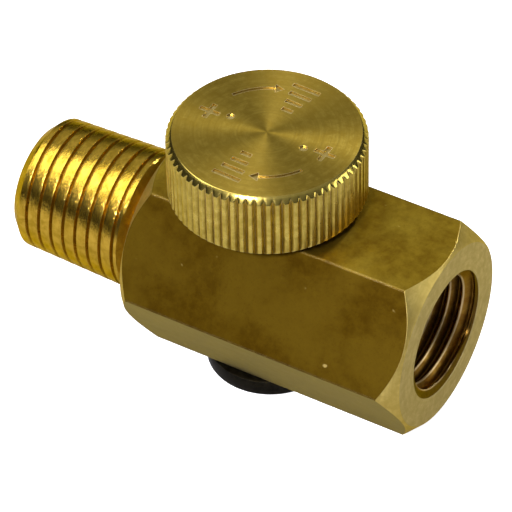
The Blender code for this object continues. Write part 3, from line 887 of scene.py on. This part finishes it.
def knob_marks():
    """Generic turn marks: arcs with arrow heads, plus signs and growing bars."""
    low = KNOB_TOP - MARK_DEPTH
    high = KNOB_TOP + 0.5
    marks = []
    for half in (0.0, 180.0):
        arc = [polar(ARROW_R, half + 112.0 + 3.0 * k) for k in range(14)]
        marks.append(stroke(arc, ARROW_WIDTH, low, high))
        tip = polar(ARROW_R, half + 105.0)
        wings = [polar(6.80, half + 112.5), polar(5.70, half + 112.5)]
        marks.append(prism("mark", [tip, wings[0], wings[1]], low - 0.01, high, "Z", 2))
        for k, length in enumerate((1.1, 1.7, 2.3, 2.9)):
            cx, cy = polar(3.6 + 1.15 * k, half + 88.0)
            ux, uy = polar(length / 2.0, half + 178.0)
            ends = [(cx - ux, cy - uy), (cx + ux, cy + uy)]
            marks.append(stroke(ends, BAR_WIDTH, low, high))
        cx, cy = polar(6.2, half + 180.0)
        for turned in (0.0, 90.0):
            ux, uy = polar(1.05, half + 180.0 + turned)
            ends = [(cx - ux, cy - uy), (cx + ux, cy + uy)]
            marks.append(stroke(ends, BAR_WIDTH, low - 0.01 * turned / 90.0, high))
        dot = polygon(0.38, 12, 0.0, polar(4.1, half + 176.0))
        marks.append(prism("mark", dot, low, high, "Z", 2))
    return marks


def build_knob():
    tool = Lathe(even(KNOB_TEETH * TOOTH_STEPS))
    tool.tag = 1
    tool.rings((8.6, KNOB_LOW), (9.05, KNOB_LOW))
    tool.tag = 0
    slope = 0.95
    tool.ring(lambda a: min(knurl_radius(a), KNOB_FOOT_R), KNOB_LOW + 0.02)
    tool.ring(knurl_radius, lambda a: KNOB_LOW + 0.04 + slope * (knurl_radius(a) - KNOB_FOOT_R))
    crown = KNOB_TOP - KNOB_CROWN

    def top_edge(angle):
        return crown + slope * (KNOB_R - knurl_radius(angle))

    tool.ring(knurl_radius, lambda a: top_edge(a) - 0.03)
    tool.tag = 3
    tool.ring(lambda a: knurl_radius(a) - 0.03, lambda a: top_edge(a) + 0.03)
    tool.rings((9.16, KNOB_TOP - 0.22), (KNOB_FACE_R + 0.04, KNOB_TOP - 0.04))
    tool.ring(KNOB_FACE_R - 0.03, KNOB_TOP)
    tool.tag = 1
    tool.ring(8.3, KNOB_TOP)
    knob = tool.build("knob_piece", (KNURL, KNOB_FACE, MARK, RIM), smooth=SHARP_KNOB)
    hollow = Lathe(even(96))
    hollow.tag = 1
    hollow.rings((0.0, 9.5), (6.3, 9.5), (6.3, 11.9), (2.42, 11.9), (2.42, 15.0), (0.0, 15.6))
    outline = polygon(SET_SCREW_R + 0.08, 32, 0.0, (SET_SCREW_Z, 0.0))
    hole = prism("hole", outline, 1.0, 10.6, "Y", 1)
    cut(knob, [hollow.build("hollow"), hole], SHARP_KNOB)
    cut(knob, knob_marks(), SHARP_KNOB)
    place_piece(knob, "knob", "knob_and_stem")


def build_set_screw():
    outline = polygon(SET_SCREW_R, 32, 0.0, (SET_SCREW_Z, 0.0))
    screw_piece = prism("set_screw_piece", outline, *SET_SCREW_Y, "Y")
    socket = [(a + SET_SCREW_Z, b) for a, b in polygon(SET_SCREW_KEY / math.sqrt(3.0), 6)]
    cut(screw_piece, [prism("socket", socket, 6.6, 9.0, "Y")])
    screw_piece.data.materials.append(BLACK)
    place_piece(screw_piece, "knob_set_screw", "knob_and_stem")


def build_plug():
    tool = Lathe(even(96))
    tool.rings((0.0, PLUG_FOOT), (5.85, PLUG_FOOT), (6.0, PLUG_FOOT + 0.03))
    tool.rings((PLUG_HEAD_R - 0.04, PLUG_FOOT + 0.29), (PLUG_HEAD_R, PLUG_FOOT + 0.40))
    tool.rings((PLUG_HEAD_R, -9.78), (PLUG_HEAD_R - 0.04, -9.66), (6.12, -9.6))
    tool.rings((3.6, -9.6), (3.6, -8.205))
    tool.thread(-8.205, -5.45, SCREW_PITCH, -8.2, SCREW_SHAPE, screw(PLUG_THREAD_R, SCREW_PITCH))
    tool.rings((3.6, -5.45), (3.2, -5.05), (0.0, -5.05))
    plug = tool.build("bottom_plug_piece", (BLACK,))
    cut(plug, [prism("socket", polygon(PLUG_KEY / math.sqrt(3.0), 6), PLUG_FOOT - 1.0, -9.0)])
    place_piece(plug, "bottom_plug", "valve_body")


def ring_seal(name, centre, tube, height, node, body):
    """An O-ring."""
    tool = Lathe(even(72))
    for angle in even(20):
        tool.ring(centre + tube * math.cos(angle), height + tube * math.sin(angle))
    place_piece(tool.build(name, (RUBBER,), loop=True), node, body)


def flat_ring(name, corners, material, node, body):
    """A ring whose section is the outline through the corners (radius, height)."""
    tool = Lathe(even(72))
    tool.rings(*corners)
    place_piece(tool.build(name, (material,), loop=True), node, body)


build_body()
build_bush()
build_stem()
build_knob()
build_set_screw()
build_plug()
ring_seal("gland_bush_seal", SEAL_R, SEAL_TUBE, SEAL_Z, "gland_bush_o_ring", "valve_body")
ring_seal("bottom_plug_seal", SEAL_R, SEAL_TUBE, -SEAL_Z, "bottom_plug_o_ring", "valve_body")
ring_seal("stem_seal_ring", 2.34, 0.52, 4.22, "stem_o_ring", "stem_seal")
flat_ring(
    "seat_piece", [(1.1, -1.3), (1.5, -1.6), (3.1, -1.6), (3.15, -1.55), (3.15, 0.45),
    (3.1, 0.5), (1.15, 0.5), (1.1, 0.45)], PLASTIC, "seat_insert", "valve_body",
)
flat_ring(
    "backup_piece", [(1.85, 4.85), (2.85, 4.85), (2.85, 5.22), (1.85, 5.22)], PLASTIC,
    "stem_backup_ring", "stem_seal",
)
flat_ring(
    "stop_piece", [(1.97, 5.67), (2.8, 5.67), (2.8, 6.28), (1.97, 6.28)], STEEL,
    "stem_stop_ring", "knob_and_stem",
)

# ---------------------------------------------------------------- stage and light


def build_floor():
    """White to the camera, a mid grey in reflections."""
    mesh = bpy.data.meshes.new("floor")
    far = 1.2
    low = -0.02 * MM
    corners = [(-far, -far, low), (far, -far, low), (far, far, low), (-far, far, low)]
    mesh.from_pydata(corners, [], [(0, 1, 2, 3)])
    floor = bpy.data.objects.new("floor", mesh)
    bpy.context.scene.collection.objects.link(floor)
    n = Nodes("pale_floor")
    path = n.add("ShaderNodeLightPath")
    colour = n.mix(path.outputs["Is Glossy Ray"], (0.86, 0.86, 0.85), (0.43, 0.42, 0.40))
    n.out(colour, 0.85, None, 0.0)
    n.shader.inputs["Emission Color"].default_value = (1.0, 1.0, 1.0, 1.0)
    n.link(path.outputs["Is Camera Ray"], n.shader.inputs["Emission Strength"])
    mesh.materials.append(n.material)


def softbox(name, direction, width, height, power, colour=(1.0, 1.0, 1.0)):
    """An area light facing the valve from a direction."""
    data = bpy.data.lights.new(name, "AREA")
    data.shape = "RECTANGLE"
    data.size = width * MM
    data.size_y = height * MM
    data.energy = power
    data.color = colour
    item = bpy.data.objects.new(name, data)
    way = Vector(direction).normalized()
    item.location = (way * LIGHT_AWAY + SHIFT) * MM
    item.rotation_euler = way.to_track_quat("Z", "Y").to_euler()
    bpy.context.scene.collection.objects.link(item)


def build_world():
    """White to the camera, and a soft grey sky that lightens upwards to all else."""
    world = bpy.data.worlds.new("studio")
    bpy.context.scene.world = world
    world.use_nodes = True
    tree = world.node_tree
    tree.nodes.clear()
    out = tree.nodes.new("ShaderNodeOutputWorld")
    back = tree.nodes.new("ShaderNodeBackground")
    coords = tree.nodes.new("ShaderNodeTexCoord")
    split = tree.nodes.new("ShaderNodeSeparateXYZ")
    ramp = tree.nodes.new("ShaderNodeValToRGB")
    tree.links.new(coords.outputs["Generated"], split.inputs[0])
    tree.links.new(split.outputs["Z"], ramp.inputs[0])
    stops = ramp.color_ramp.elements
    stops[0].position = 0.0
    stops[0].color = (0.03, 0.03, 0.03, 1.0)
    stops[1].position = 0.30
    stops[1].color = (0.035, 0.035, 0.035, 1.0)
    for place, grey in ((0.55, 0.16), (0.80, 0.28)):
        stop = stops.new(place)
        stop.color = (grey, grey, grey, 1.0)
    tree.links.new(ramp.outputs[0], back.inputs[0])
    path = tree.nodes.new("ShaderNodeLightPath")
    white = tree.nodes.new("ShaderNodeBackground")
    white.inputs[0].default_value = (1.0, 1.0, 1.0, 1.0)
    white.inputs[1].default_value = 1.0
    pick = tree.nodes.new("ShaderNodeMixShader")
    tree.links.new(path.outputs["Is Camera Ray"], pick.inputs[0])
    tree.links.new(back.outputs[0], pick.inputs[1])
    tree.links.new(white.outputs[0], pick.inputs[2])
    tree.links.new(pick.outputs[0], out.inputs[0])


def build_camera():
    turn, rise, roll = (math.radians(d) for d in (CAMERA_TURN, CAMERA_RISE, CAMERA_ROLL))
    right = Vector((math.cos(turn), math.sin(turn), 0.0))
    level = Vector((math.sin(turn), -math.cos(turn), 0.0))
    back = level * math.cos(rise) + Vector((0.0, 0.0, math.sin(rise)))
    up = back.cross(right)
    across = right * math.cos(roll) + up * math.sin(roll)
    upward = up * math.cos(roll) - right * math.sin(roll)
    aim = across * CAMERA_ASIDE + upward * CAMERA_LIFT + SHIFT
    data = bpy.data.cameras.new("camera")
    data.lens = CAMERA_LENS
    data.sensor_width = 36.0
    data.clip_start = 0.01
    data.clip_end = 10.0
    item = bpy.data.objects.new("camera", data)
    turned = Matrix((across, upward, back)).transposed().to_4x4()
    item.matrix_world = Matrix.Translation((aim + back * CAMERA_AWAY) * MM) @ turned
    bpy.context.scene.collection.objects.link(item)
    bpy.context.scene.camera = item


build_floor()
build_world()
softbox("overhead", (-0.38, -0.15, 0.91), 260.0, 420.0, 1.12)
softbox("back", (-0.37, 0.64, 0.68), 300.0, 300.0, 0.074)
softbox("streak", (0.109, 0.752, 0.65), 40.0, 40.0, 0.50)
softbox("key", (0.06, -0.70, 0.71), 40.0, 40.0, 1.85, (1.0, 0.98, 1.12))
softbox("right", (0.95, 0.38, 0.25), 190.0, 190.0, 0.29)
build_camera()
bpy.context.scene.view_settings.view_transform = "Standard"  # keeps bright brass yellow
